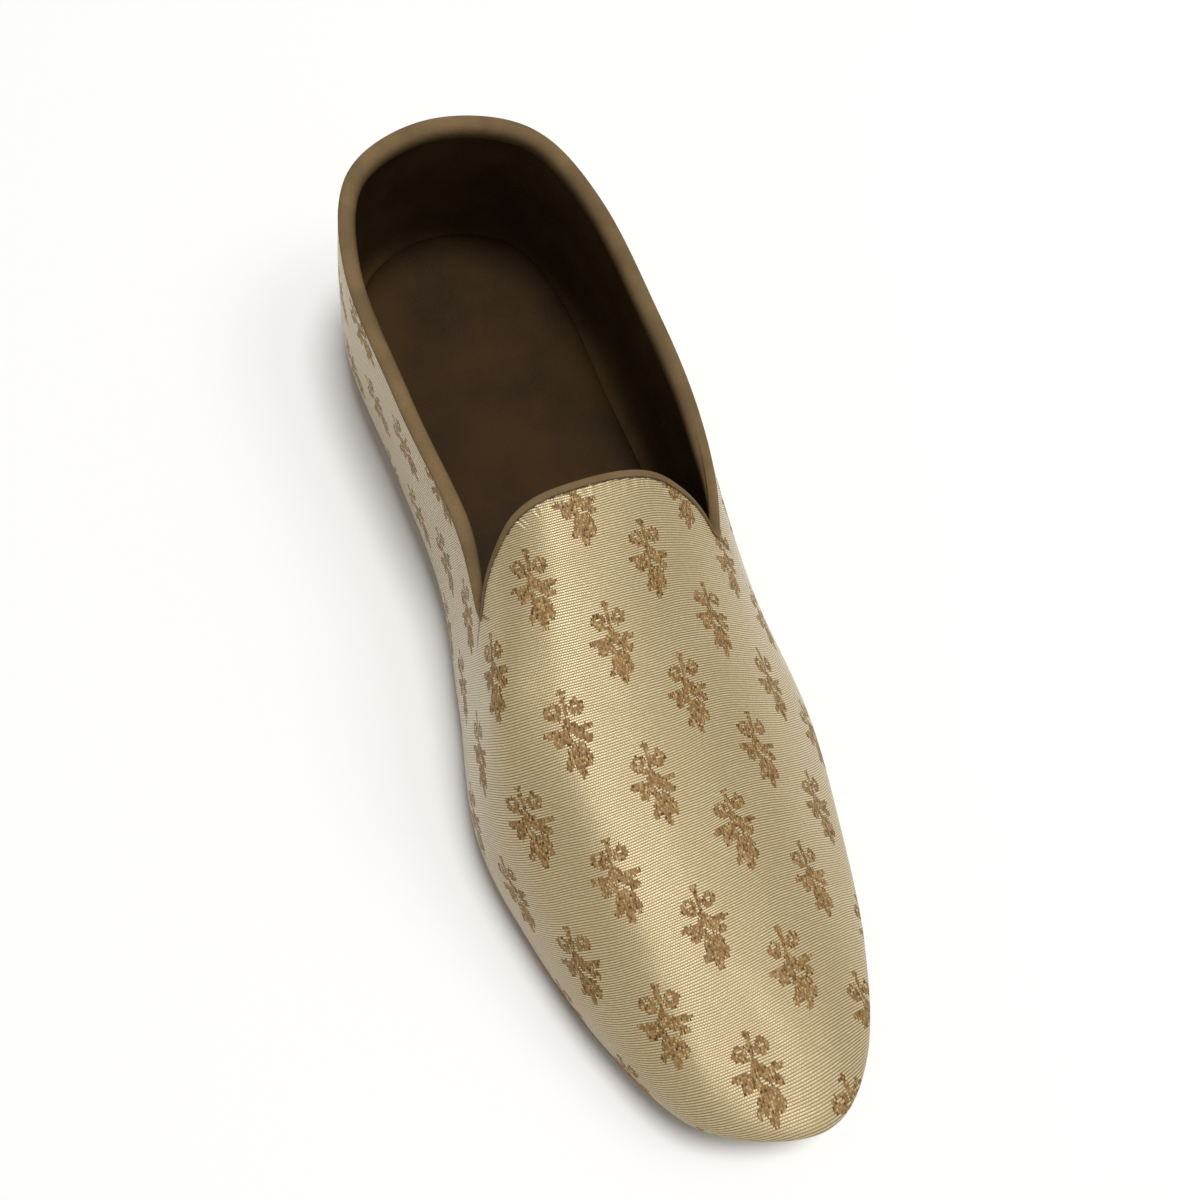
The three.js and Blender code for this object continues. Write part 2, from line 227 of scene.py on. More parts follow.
def ribs(t, grow, count):
    """Ribs of the last at t, grown outward, from the sole's edge up to the crown line, each of
    count points."""
    edge, out, bulge, pinch, crown, fold = station(t)
    height, side = np.moveaxis(smooth(CROWN, crown), -1, 0)
    ahead = smooth(CROWN, crown + CROWN_STEP)[..., 0]
    slope = (ahead - height) * INSTEP_HEIGHT / (CROWN_STEP * SOLE_LENGTH)
    top = np.stack([crown * SOLE_LENGTH, side * BALL_WIDTH], axis=-1)
    top_z = height * INSTEP_HEIGHT + grow
    foot = upper_foot(edge[:, 0]) - FOOT_REACH
    wide = upper_foot(edge[:, 0]) + FEATHER_HEIGHT
    widest = edge + out * (bulge + grow)[:, None]
    reach = top - widest
    turn = (1 - np.linspace(0, 1, TURN_POINTS, endpoint=False)) * math.pi / 2
    inset = (bulge + FEATHER_INSET)[:, None] * (1 - np.cos(turn))
    low = np.empty((len(edge), len(turn), 3))
    low[..., :2] = widest[:, None] - out[:, None] * inset[..., None]
    low[..., 2] = wide[:, None] - (wide - foot)[:, None] * np.sin(turn)
    rise = (1 - np.cos(np.linspace(0, math.pi, RISE_POINTS))) * math.pi / 4
    across = np.cos(rise)[None] ** (2 / fold[:, None])
    across[:, -1] = 0
    up = np.sin(rise)[None] ** (2 / fold[:, None])
    roof = top_z[:, None] - (slope * reach[:, 0])[:, None] * across * (1 - SLOPE_LOST * across)
    drawn = pinch[:, None] * np.sin(math.pi * up) ** 2
    drawn[:, -1] = 0
    high = np.empty((len(edge), len(rise), 3))
    high[..., :2] = top[:, None] - reach[:, None] * across[..., None] - out[:, None] * drawn[..., None]
    high[..., 2] = wide[:, None] + (roof - wide[:, None]) * up
    return even_steps(np.concatenate([low, high], axis=1), count)


# Edges of the upper's opening, in the side view

VAMP_RUN = NOTCH_AT - THROAT_AT
VAMP_SLOPE = VAMP_RUN / ((VAMP_EDGE[-1][1] - VAMP_EDGE[0][1]) * INSTEP_HEIGHT)
notch_height = float(smooth(COLLAR, 1.0)[0]) * COLLAR_HEIGHT


def collar_height(x):
    return smooth(COLLAR, x / NOTCH_AT)[..., 0] * COLLAR_HEIGHT


def vamp_place(z):
    """How far forward the vamp's edge is at height z."""
    back = np.linspace(0, 1, 60)
    lift = VAMP_EDGE[0][1] * INSTEP_HEIGHT - notch_height
    height = smooth(VAMP_EDGE, back)[:, 0] * INSTEP_HEIGHT - lift
    below = NOTCH_AT + (notch_height - z) * VAMP_SLOPE
    return np.where(z < notch_height, below, NOTCH_AT - np.interp(z, height, back) * VAMP_RUN)


def in_opening(points, inset):
    """Over 0 inside the opening, under 0 on the upper, in millimetres from its edge."""
    x, z = points[..., 0], points[..., 2]
    over_collar = z - collar_height(x) + inset
    behind_vamp = vamp_place(z) + inset * math.hypot(1, VAMP_SLOPE) - x
    return np.minimum(over_collar, behind_vamp)


def clip(rows, faces, value):
    """The faces' part where value is under 0. Returns the points' rows, the faces, the cut's
    segments from point to point, and the rows that those count in."""
    rows = list(rows)
    cut = {}
    segments = []

    def crossing(a, b):
        key = (a, b) if a < b else (b, a)
        if key not in cut:
            share = value[key[0]] / (value[key[0]] - value[key[1]])
            cut[key] = len(rows)
            rows.append(rows[key[0]] * (1 - share) + rows[key[1]] * share)
        return cut[key]

    inside = value < 0
    kept = []
    for face in faces:
        state = [inside[v] for v in face]
        if all(state):
            kept.append(face)
        elif any(state):
            shape, ends = [], {}
            for a, b in zip(face, (*face[1:], face[0])):
                if inside[a]:
                    shape.append(a)
                if inside[a] != inside[b]:
                    shape.append(crossing(a, b))
                    ends[bool(inside[a])] = shape[-1]
            kept.append(tuple(shape))
            segments.append((ends[True], ends[False]))
    rows = np.array(rows)
    used, faces_of = np.unique(np.concatenate(kept), return_inverse=True)
    sizes = np.cumsum([len(face) for face in kept])[:-1]
    return rows[used], [tuple(face) for face in np.split(faces_of, sizes)], segments, rows


def last_surface(rib_count, step_count, grow):
    """The surface of the last without its sole, grown outward: its points and faces."""
    t = np.arange(rib_count) / rib_count
    grid = ribs(t, grow, step_count)
    number = np.arange(rib_count * step_count).reshape(rib_count, step_count)
    # Two ribs that meet at the crown line share their last point.
    for i in range(rib_count // 2 + 1, rib_count):
        number[i, -1] = number[rib_count - i, -1]
    faces = []
    for i in range(rib_count):
        j = (i + 1) % rib_count
        for k in range(step_count - 1):
            face = (number[i, k], number[j, k], number[j, k + 1], number[i, k + 1])
            face = tuple(dict.fromkeys(face))
            if len(face) > 2:
                faces.append(face)
    return grid.reshape(-1, 3), faces


# How far the cloth stands out at the vamp's inner shoulder, by place along the sole: fuller just in
# front of the notch, then a slanting face down from the ridge. It moves most where the surface leans
# at the angles below, in degrees, and less on both sides of that.
SHOULDER = [
    (143, 0), (152, 1.4), (164, 2.6), (176, 1.1), (187, -0.8), (199, -2.0), (214, -1.5), (230, -0.8),
    (247, -0.2), (262, 0),
]
SHOULDER_OUT, SHOULDER_IN, SHOULDER_SPREAD = 50, 38, 22


def shouldered(points, faces):
    """The surface with its inner shoulder moved out or in."""
    normal = normals_of(points, faces)
    lean = np.degrees(np.arctan2(-normal[:, 1], normal[:, 2]))
    out = np.interp(points[:, 0], *np.array(SHOULDER).T)
    middle = np.where(out > 0, SHOULDER_OUT, SHOULDER_IN)
    share = np.exp(-((lean - middle) / SHOULDER_SPREAD) ** 2)
    return points + (out * share)[:, None] * normal


# Place of the sole's frame in the row frame
outsole_low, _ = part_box("outsole")
plan_y = closed_curve(LOOP * LOOP_SIZE, np.linspace(0, 1, DENSE_POINTS))[0][:, 1]
SHIFT = np.array([outsole_low.x * 1000, outsole_low.y * 1000 - plan_y.min(), 0.0])


def metres(points):
    """Points of the sole's frame in the row frame."""
    return (np.asarray(points, float) + SHIFT) / 1000


# Objects

def add_object(name, points, faces, replaces, material):
    """A smooth piece that rides on the shoe's one body, from points in the sole's frame."""
    mesh = bpy.data.meshes.new(name)
    mesh.from_pydata([tuple(p) for p in metres(points)], [], [tuple(map(int, f)) for f in faces])
    mesh.update()
    piece = bpy.data.objects.new(name, mesh)
    bpy.context.scene.collection.objects.link(piece)
    mesh.shade_smooth()
    mesh.materials.append(material)
    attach(piece, "root")
    if replaces:
        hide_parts(*replaces)
    return piece


def plain_material(name, color, roughness):
    material = bpy.data.materials.new(name)
    material.use_nodes = True
    shader = material.node_tree.nodes["Principled BSDF"]
    shader.inputs["Base Color"].default_value = (*color, 1)
    shader.inputs["Roughness"].default_value = roughness
    return material


def loft(rings):
    """Faces between rings, each a loop of the same number of points, all in one point list."""
    count = len(rings[0])
    faces = []
    for r in range(len(rings) - 1):
        for i in range(count):
            j = (i + 1) % count
            faces.append((r * count + i, r * count + j, (r + 1) * count + j, (r + 1) * count + i))
    return np.concatenate(rings), faces


def sole_plate(rings):
    """A plate on the sole's outline. Each ring is (inset, height function)."""
    t = np.arange(SOLE_POINTS) / SOLE_POINTS
    edge, out, *_ = station(t)
    loops = []
    for inset, height in rings:
        flat = edge - out * inset
        loops.append(np.column_stack([flat, height(flat[:, 0])]))
    points, faces = loft(loops)
    top = (len(loops) - 1) * SOLE_POINTS
    for i in range(SOLE_POINTS // 2):
        pair = (i, i + 1, (SOLE_POINTS - i - 1) % SOLE_POINTS, (SOLE_POINTS - i) % SOLE_POINTS)
        below = tuple(dict.fromkeys(pair))
        faces.append(tuple(reversed(below)))
        faces.append(tuple(top + v for v in below))
    return points, faces


def normals_of(points, faces):
    """A smooth normal at each point."""
    total = np.zeros_like(points)
    for face in faces:
        corner = points[list(face)]
        flat = np.cross(corner[1] - corner[0], corner[-1] - corner[0])
        total[list(face)] += flat
    return total / np.maximum(np.linalg.norm(total, axis=1, keepdims=True), 1e-9)


def resample(line, step):
    """A line of rows whose first three columns are places, evenly spaced, ends kept."""
    far = np.concatenate([[0], np.linalg.norm(np.diff(line[:, :3], axis=0), axis=1).cumsum()])
    want = np.linspace(0, far[-1], max(2, round(far[-1] / step) + 1))
    return np.column_stack([np.interp(want, far, column) for column in line.T])


def soften(line, passes):
    """A line smoothed by its neighbours, ends kept."""
    line = line.copy()
    for _ in range(passes):
        line[1:-1] = (line[:-2] + 2 * line[1:-1] + line[2:]) / 4
    return line


def topline():
    """The opening's edge as two lines of place and normal: the collar, from the inner notch round
    the heel to the outer one, and the vamp's edge, from the outer notch over to the inner one."""
    points, faces = last_surface(EDGE_RIBS, EDGE_STEPS, 0.0)
    rows = np.column_stack([points, normals_of(points, faces)])
    _, _, segments, edge_rows = clip(rows, faces, in_opening(points, 0.0))
    order = [segments[0][0]]
    follow = dict(segments)
    while follow[order[-1]] != order[0]:
        order.append(follow[order[-1]])
    line = edge_rows[order]
    notch = np.abs(line[:, 0] - NOTCH_AT) + np.abs(line[:, 2] - notch_height)
    inner = np.argmin(np.where(line[:, 1] < 0, notch, 1e9))
    line = np.roll(line, -inner, axis=0)
    outer = np.argmin(np.where(line[:, 1] > 0, np.roll(notch, -inner), 1e9))
    first, second = line[:outer + 1], np.vstack([line[outer:], line[:1]])
    if first[:, 0].min() > second[:, 0].min():
        first, second = second[::-1], first[::-1]
    return [soften(resample(part, LINE_STEP), LINE_PASSES) for part in (first, second)]


def way_on(line, end):
    """The direction in which a line would go on past its first point, 0, or its last one, -1."""
    way = line[end, :3] - line[4 if end == 0 else -5, :3]
    return way / np.linalg.norm(way)


def lengthen(line, extra, sink):
    """A line of places and normals, carried on at both ends and sinking below the surface."""
    far = np.linspace(0, 1, 6)[1:, None]

    def more(end):
        normal = line[end, 3:]
        place = line[end, :3] + far * extra * way_on(line, end) - far ** 2 * sink * normal
        return np.hstack([place, np.tile(normal, (len(far), 1))])

    return np.vstack([more(0)[::-1], line, more(-1)])


def end_share(far, taper):
    """0 at both ends of a line and 1 from the taper's length on."""
    return smoothstep(np.minimum(far, far.max() - far), 0, taper)


def strip_along(line, profile, taper, roll, lap):
    """A strip along a line of places and normals. The closed profile is in millimetres outward and
    down from the edge. Towards each end, its inner roll and its outer lap shrink to these shares."""
    line = lengthen(line, NOTCH_OVERLAP, BINDING_RELIEF)
    place, normal = line[:, :3], line[:, 3:]
    along = np.gradient(place, axis=0)
    along /= np.linalg.norm(along, axis=1, keepdims=True)
    normal = normal - along * np.sum(normal * along, axis=1, keepdims=True)
    normal /= np.linalg.norm(normal, axis=1, keepdims=True)
    down = np.cross(along, normal)
    if down[len(down) // 2, 2] > 0:
        down = -down
    section = closed_curve(profile, np.arange(SECTION_POINTS) / SECTION_POINTS)[0]
    far = np.concatenate([[0], np.linalg.norm(np.diff(place, axis=0), axis=1).cumsum()])
    slim = -WALL - BINDING_RELIEF
    outer = section[:, 0] > -WALL / 2
    rings = []
    for p, n, d, share in zip(place, normal, down, end_share(far, taper)):
        full = roll + (1 - roll) * share
        side = np.where(section[:, 0] < slim, slim + (section[:, 0] - slim) * full, section[:, 0])
        deep = section[:, 1] * np.where(outer, lap + (1 - lap) * share, 1)
        rings.append(p + np.outer(side, n) + np.outer(deep, d))
    points, faces = loft(rings)
    last = len(points) - len(section)
    faces.append(tuple(range(len(section)))[::-1])
    faces.append(tuple(last + i for i in range(len(section))))
    return points, faces, np.tile(section[:, 1], len(rings))


def distance_to(points, *lines):
    """How far each point is from the nearest of the lines, and how far along it that is. The
    points are taken in blocks to spare memory."""
    places = np.vstack([line[:, :3] for line in lines])
    steps = np.linalg.norm(np.diff(places, axis=0), axis=1)
    along = np.concatenate([[0], np.minimum(steps, 2).cumsum()])
    near, run = np.empty(len(points)), np.empty(len(points))
    size = 4000
    for start in range(0, len(points), size):
        block = slice(start, start + size)
        gap = np.linalg.norm(points[block, None] - places[None], axis=2)
        near[block] = gap.min(axis=1)
        run[block] = along[gap.argmin(axis=1)]
    return near, run


def add_values(piece, name, values):
    piece.data.attributes.new(name, "FLOAT", "POINT").data.foreach_set("value", values)


# Sections of the two bindings: outward and down from the cloth's edge, in millimetres.
VAMP_SECTION = [
    (0.28, 1.6), (0.36, 1.05), (0.28, 0.4), (-0.30, -0.12), (-1.6, -0.15), (-2.3, 0.4),
    (-2.4, 1.6), (-2.3, 2.5), (-1.4, 2.5), (-1.2, 2.0),
]
COLLAR_SECTION = [
    (0.20, 1.0), (0.32, 0.6), (0.20, 0.1), (-0.70, -0.25), (-2.2, -0.2), (-3.7, 0.6), (-4.5, 2.3),
    (-4.4, 4.2), (-3.4, 6.2), (-2.3, 7.6), (-1.6, 7.0), (-1.4, 3.5), (-0.9, 1.4),
]
# The bindings narrow over this length to each notch, the vamp's lap to this share, and run on past it.
BINDING_TAPER = 30
VAMP_LAP_SHARE = 0.55
NOTCH_OVERLAP = 1.5
# The cloth's edge lies this far under its binding, its back seam this deep, and a crease runs on
# from each notch over this length.
EDGE_INSET = 0.4
SEAM_DEPTH = 0.35
CREASE_LENGTH = 11


# Materials

class Nodes:
    """Short calls for building one material's nodes."""

    def __init__(self, name, roughness, specular=0.5):
        self.material = bpy.data.materials.new(name)
        self.material.use_nodes = True
        self.tree = self.material.node_tree
        self.shader = self.tree.nodes["Principled BSDF"]
        self.shader.inputs["Roughness"].default_value = roughness
        self.shader.inputs["Specular IOR Level"].default_value = specular

    def feed(self, socket, value):
        if isinstance(value, bpy.types.NodeSocket):
            self.tree.links.new(value, socket)
        else:
            socket.default_value = value

    def node(self, kind, inputs=None, **settings):
        node = self.tree.nodes.new(kind)
        for key, value in settings.items():
            setattr(node, key, value)
        for key, value in (inputs or {}).items():
            self.feed(node.inputs[key], value)
        return node

    def math(self, operation, *values):
        node = self.node("ShaderNodeMath", operation=operation)
        for socket, value in zip(node.inputs, values):
            self.feed(socket, value)
        return node.outputs[0]

    def vector(self, operation, *values):
        node = self.node("ShaderNodeVectorMath", operation=operation)
        for socket, value in zip(node.inputs, values):
            self.feed(socket, value)
        return node.outputs["Value" if operation in ("LENGTH", "DOT_PRODUCT") else "Vector"]

    def join(self, x, y, z=0.0):
        node = self.node("ShaderNodeCombineXYZ", {"X": x, "Y": y, "Z": z})
        return node.outputs[0]

    def split(self, vector):
        node = self.node("ShaderNodeSeparateXYZ", {"Vector": vector})
        return node.outputs["X"], node.outputs["Y"], node.outputs["Z"]

    def noise(self, vector, scale, detail=2.0, roughness=0.5):
        inputs = {"Vector": vector, "Scale": scale, "Detail": detail, "Roughness": roughness}
        return self.node("ShaderNodeTexNoise", inputs).outputs["Fac"]

    def random(self, vector):
        return self.node("ShaderNodeTexWhiteNoise", {"Vector": vector}).outputs["Value"]

    def centred(self, share, span):
        """A share from 0 to 1 made into a distance from the middle of a span."""
        return self.math("MULTIPLY", self.math("SUBTRACT", share, 0.5), span)

    def ramp(self, value, low, high, start=0.0, end=1.0):
        """value from low to high made into start to end, eased and held at both ends."""
        inputs = {"Value": value, "From Min": low, "From Max": high, "To Min": start, "To Max": end}
        node = self.node("ShaderNodeMapRange", inputs, interpolation_type="SMOOTHSTEP")
        return node.outputs[0]

    def mix(self, share, first, second):
        node = self.node("ShaderNodeMix", data_type="RGBA")
        self.feed(node.inputs["Factor"], share)
        self.feed(node.inputs["A"], first)
        self.feed(node.inputs["B"], second)
        return node.outputs["Result"]

    def tint(self, base, screen, value, low, high, start=0.0, end=1.0):
        """The base with another colour, given as screen values, laid over it by a ramp of value."""
        return self.mix(self.ramp(value, low, high, start, end), base, srgb(*screen))

    def value(self, name):
        return self.node("ShaderNodeAttribute", attribute_name=name).outputs["Fac"]

    def place(self):
        """The place on the object at rest, in millimetres."""
        coordinates = self.node("ShaderNodeTexCoord").outputs["Object"]
        inputs = {"Vector": coordinates, "Scale": 1000.0}
        return self.node("ShaderNodeVectorMath", inputs, operation="SCALE").outputs["Vector"]

    def bump(self, height):
        """Relief from a height in millimetres."""
        inputs = {"Height": height, "Strength": 1.0, "Distance": 0.001}
        bump = self.node("ShaderNodeBump", inputs)
        self.feed(self.shader.inputs["Normal"], bump.outputs["Normal"])

    def colour(self, value):
        self.feed(self.shader.inputs["Base Color"], value)
        return self.material


def srgb(red, green, blue):
    """A colour given as screen values up to 255, made linear."""
    shares = [value / 255 for value in (red, green, blue)]
    return (*(s / 12.92 if s < 0.04045 else ((s + 0.055) / 1.055) ** 2.4 for s in shares), 1)


# The woven sprig: ellipses of x, y, half width, half height in millimetres and a turn in degrees,
# x to the outer side, y to the toe. A stem between two round lobes, a spray of leaves and a bud.
SPRIG = [
    (0.35, -9.7, 1.0, 0.65, 10), (0.35, -8.2, 0.6, 1.6, 9),
    (-2.4, -6.0, 1.95, 1.8, 0), (0.4, -6.0, 0.6, 2.2, 6), (3.0, -5.6, 1.85, 1.8, 0),
    (3.1, -7.2, 0.7, 0.8, 0), (-1.7, -4.1, 1.4, 0.7, 10), (0.15, -3.1, 0.9, 0.9, 0),
    (0.4, -1.3, 1.9, 1.5, 0), (4.0, -0.6, 2.1, 0.85, 0), (2.3, 0.6, 1.8, 1.15, 30),
    (3.8, 2.0, 1.4, 1.05, 30), (-3.4, -0.8, 2.3, 1.0, 5), (-5.0, -1.0, 0.9, 0.8, 0),
    (-2.9, 1.4, 1.35, 1.5, 0), (-1.8, 0.1, 1.5, 1.4, 0), (-0.5, 1.5, 0.8, 1.3, 0),
    (0.85, 5.3, 2.6, 3.1, 0), (-1.9, 7.0, 0.8, 1.2, 10), (0.6, 8.8, 1.0, 1.8, 0),
    (3.0, 7.0, 0.75, 1.6, 10),
]
# The pale eyes of its two round lobes, in the same columns.
SPRIG_EYES = [(-2.3, -6.4, 0.6, 0.55, 0), (2.9, -6.0, 0.55, 0.5, 0)]
# How the cloth lies on the last: its turn, the middle of one sprig, how far it wanders, and how far
# the weft is drawn to the toe on the outer side, over how wide a strip.
WEAVE_TURN = math.radians(0.67)
SPRIG_AT = (13.95, 10.4)
WEAVE_DRIFT = 2.0
WEFT_DRAWN = 10.5
WEFT_DRAWN_OVER = 45


def sprig_mask(n, u, v):
    """Under 0 inside a sprig. The sprigs stand in columns, each column half a step on."""
    across = n.math("DIVIDE", u, MOTIF_ACROSS)
    column = n.math("FLOOR", across)
    x = n.centred(n.math("FRACT", across), MOTIF_ACROSS)
    step = n.math("MULTIPLY", column, 0.5)
    along = n.math("FRACT", n.math("ADD", n.math("DIVIDE", v, MOTIF_ALONG), step))
    y = n.centred(along, MOTIF_ALONG)
    spot = n.join(x, y)

    def reach(left, forward, wide, tall, turn):
        inputs = {
            "Vector": spot, "Location": (left, forward, 0), "Rotation": (0, 0, math.radians(turn)),
            "Scale": (wide, tall, 1),
        }
        return n.vector("LENGTH", n.node("ShaderNodeMapping", inputs, vector_type="TEXTURE").outputs[0])

    mask = n.math("SUBTRACT", reach(*SPRIG[0]), 1.0)
    for oval in SPRIG[1:]:
        mask = n.math("MINIMUM", mask, n.math("SUBTRACT", reach(*oval), 1.0))
    for oval in SPRIG_EYES:
        mask = n.math("MAXIMUM", mask, n.math("SUBTRACT", 1.0, reach(*oval)))
    return mask


def crease_mask(n):
    """1 in the short creases that run on from the vamp's edge at the two notches."""
    place = n.place()
    creases = []
    for end in (0, -1):
        way = way_on(vamp_line, end)
        across = np.cross(way, vamp_line[end, 3:])
        across /= np.linalg.norm(across)
        offset = n.vector("SUBTRACT", place, tuple(vamp_line[end, :3] + SHIFT))
        side = n.math("ABSOLUTE", n.vector("DOT_PRODUCT", offset, tuple(across)))
        ahead = n.ramp(n.vector("DOT_PRODUCT", offset, tuple(way)), 0.0, 1.0)
        share = n.math("MULTIPLY", ahead, n.ramp(n.vector("LENGTH", offset), 6.0, CREASE_LENGTH, 1.0, 0.0))
        creases.append(n.math("MULTIPLY", share, n.ramp(side, 0.1, 0.8, 1.0, 0.0)))
    return n.math("ADD", *creases)


def cloth_place(n, uv):
    """The place on the unwoven cloth: across and along, with the drift and draw of a real cloth."""
    drift = n.node("ShaderNodeTexNoise", {"Vector": uv, "Scale": 0.05, "Detail": 1.0}).outputs["Color"]
    drift = n.vector("SUBTRACT", drift, (0.5, 0.5, 0.5))
    drift = n.vector("MULTIPLY", drift, (WEAVE_DRIFT, WEAVE_DRIFT, 0.0))
    start = (MOTIF_ACROSS / 2 - SPRIG_AT[0], MOTIF_ALONG / 2 - SPRIG_AT[1], 0)
    inputs = {"Vector": uv, "Rotation": (0, 0, WEAVE_TURN), "Location": start}
    turned = n.node("ShaderNodeMapping", inputs).outputs[0]
    u, v, _ = n.split(n.vector("ADD", turned, drift))
    drawn_from = MOTIF_ACROSS / 2
    return u, n.math("SUBTRACT", v, n.ramp(u, drawn_from, drawn_from + WEFT_DRAWN_OVER, 0.0, WEFT_DRAWN))


def brocade_material():
    """A satin-faced brocade: weft ribs across the shoe, broken into short dashes, with sprigs."""
    n = Nodes("brocade", 0.45, 0.3)
    uv = n.node("ShaderNodeUVMap", uv_map="weave").outputs[0]
    u, v = cloth_place(n, uv)

    # Each rib is a row of rounded dashes, half a dash on from the rib before.
    rows = n.math("DIVIDE", v, RIB_PITCH)
    row = n.math("FLOOR", rows)
    over = n.math("FRACT", rows)
    stagger = n.math("FRACT", n.math("MULTIPLY", row, 0.5))
    dashes = n.math("ADD", n.math("DIVIDE", u, DASH_LENGTH), stagger)
    dash = n.math("FLOOR", dashes)
    through = n.math("FRACT", dashes)
    rib = n.math("SINE", n.math("MULTIPLY", over, math.pi))
    ends = n.math("ABSOLUTE", n.math("SUBTRACT", n.math("MULTIPLY", through, 2.0), 1.0))
    float_height = n.math("SUBTRACT", 1.0, n.math("POWER", ends, 5.0))
    thread = n.math("MULTIPLY", rib, n.math("ADD", n.math("MULTIPLY", float_height, 0.28), 0.72))
    chance = n.random(n.join(dash, row))

    # The sprigs step by half a dash along a rib and by a whole rib, with a ragged edge.
    half = n.math("FLOOR", n.math("MULTIPLY", dashes, 2.0))
    woven_u = n.math("SUBTRACT", n.math("DIVIDE", n.math("ADD", half, 0.5), 2.0), stagger)
    woven_v = n.math("MULTIPLY", n.math("ADD", row, 0.5), RIB_PITCH)
    fleck = n.random(n.join(half, row, 7.0))
    mask = sprig_mask(n, n.math("MULTIPLY", woven_u, DASH_LENGTH), woven_v)
    ragged = n.math("ADD", mask, n.centred(fleck, 0.22))
    in_sprig = n.math("LESS_THAN", ragged, 0.0)

    # Colours of the ground and of the sprigs, with painted shade in the gaps between ribs.
    tone = n.noise(uv, 0.045, 3.0)
    # The ground goes from painted shade in the gaps between ribs to the threads' tops.
    base = n.mix(thread, srgb(106, 86, 54), srgb(211, 192, 149))
    # Painted glints on the tops of some dashes.
    painted_glint = n.math("MULTIPLY", n.ramp(chance, 0.3, 1.0), n.ramp(thread, 0.5, 1.0))
    base = n.mix(n.math("MULTIPLY", painted_glint, 0.35), base, srgb(238, 224, 184))
    base = n.tint(base, (176, 152, 110), tone, 0.35, 0.7, 0.0, 0.2)
    brown = n.mix(n.ramp(fleck, 0.0, 1.0), srgb(128, 97, 57), srgb(176, 144, 96))
    brown = n.mix(n.math("GREATER_THAN", fleck, 0.9), brown, srgb(198, 171, 123))
    brown = n.mix(n.math("LESS_THAN", fleck, 0.07), brown, srgb(94, 66, 36))
    # Painted shade in the gaps between ribs within the sprigs.
    brown = n.tint(brown, (100, 75, 44), rib, 0.0, 0.6, 0.35, 0.0)
    cloth = n.mix(in_sprig, base, brown)

    # A painted shadow along the bindings, drawn as an uneven dark line, and puckers.
    rim, run = n.value("rim"), n.value("run")
    drawn = n.noise(n.join(run, 0.0), 0.12, 1.0)
    swing = n.math("SINE", n.math("ADD", n.math("MULTIPLY", run, 2.1), n.math("MULTIPLY", drawn, 30.0)))
    wave = n.math("MULTIPLY", swing, n.ramp(n.noise(n.join(run, 9.0), 0.25), 0.35, 0.75))
    near_rim = n.ramp(rim, 2.6, 6.0, 1.0, 0.0)
    ragged_rim = n.centred(n.noise(uv, 1.1, 2.0), 0.9)
    seam = n.math("ADD", n.math("ADD", rim, n.math("MULTIPLY", wave, 0.2)), ragged_rim)
    line = n.math("SUBTRACT", seam, n.value("band"))
    # The dark line is painted shadow cast by the binding's edge onto the cloth.
    cloth = n.tint(cloth, (54, 38, 20), line, 0.15, 0.6, 0.9, 0.0)

    # The back seam with its stitches, and the creases at the notches.
    back, back_run = n.value("back"), n.value("back_run")
    stitches = n.math("ABSOLUTE", n.math("SINE", n.math("MULTIPLY", back_run, math.pi / 3.2)))
    cloth = n.tint(cloth, (70, 50, 28), back, 0.1, 0.5, 0.85, 0.0)
    gather = n.math("MULTIPLY", stitches, n.ramp(back, 0.3, 4.5, 0.16, 0.0))
    crease = crease_mask(n)
    # The creases are darkened with painted shade, over a slight dip in the relief.
    cloth = n.mix(n.math("MULTIPLY", crease, 0.75), cloth, srgb(94, 70, 40))
    gather = n.math("SUBTRACT", gather, n.math("MULTIPLY", crease, 0.25))

    # Relief in millimetres, and the satin's sheen along the weft.
    pucker = n.math("MULTIPLY", n.math("MULTIPLY", wave, near_rim), 0.14)
    sprig_sink = n.math("MULTIPLY", in_sprig, -0.03)
    relief = n.math("MULTIPLY", thread, 0.1)
    height = n.math("ADD", n.math("ADD", n.math("ADD", relief, pucker), sprig_sink), gather)
    n.bump(height)
    n.feed(n.shader.inputs["Roughness"], n.math("ADD", n.math("MULTIPLY", in_sprig, 0.4), 0.35))
    tangent = n.node("ShaderNodeTangent", direction_type="UV_MAP", uv_map="weave").outputs[0]
    n.feed(n.shader.inputs["Tangent"], tangent)
    n.shader.inputs["Anisotropic"].default_value = 0.8
    n.shader.inputs["Metallic"].default_value = 0.25
    n.shader.inputs["Anisotropic Rotation"].default_value = 0.25
    return n.colour(cloth)


def facing_material():
    """Matt taupe facing, finely grained, with painted shade where it goes down into the shoe."""
    n = Nodes("taupe_facing", 0.8, 0.3)
    place = n.place()
    grain = n.noise(place, 2.2, 4.0, 0.65)
    blotch = n.noise(place, 0.09, 2.0)
    colour = n.mix(n.ramp(blotch, 0.3, 0.7), srgb(104, 84, 54), srgb(123, 100, 66))
    colour = n.tint(colour, (92, 73, 46), grain, 0.35, 0.75, 0.0, 0.5)
    # Painted shade, deepening down into the shoe.
    shade_depth = n.math("ADD", n.value("down"), n.math("MULTIPLY", blotch, 1.5))
    colour = n.tint(colour, (42, 30, 17), shade_depth, 3.2, 7.6, 0.0, 0.85)
    n.bump(n.math("MULTIPLY", grain, 0.05))
    return n.colour(colour)


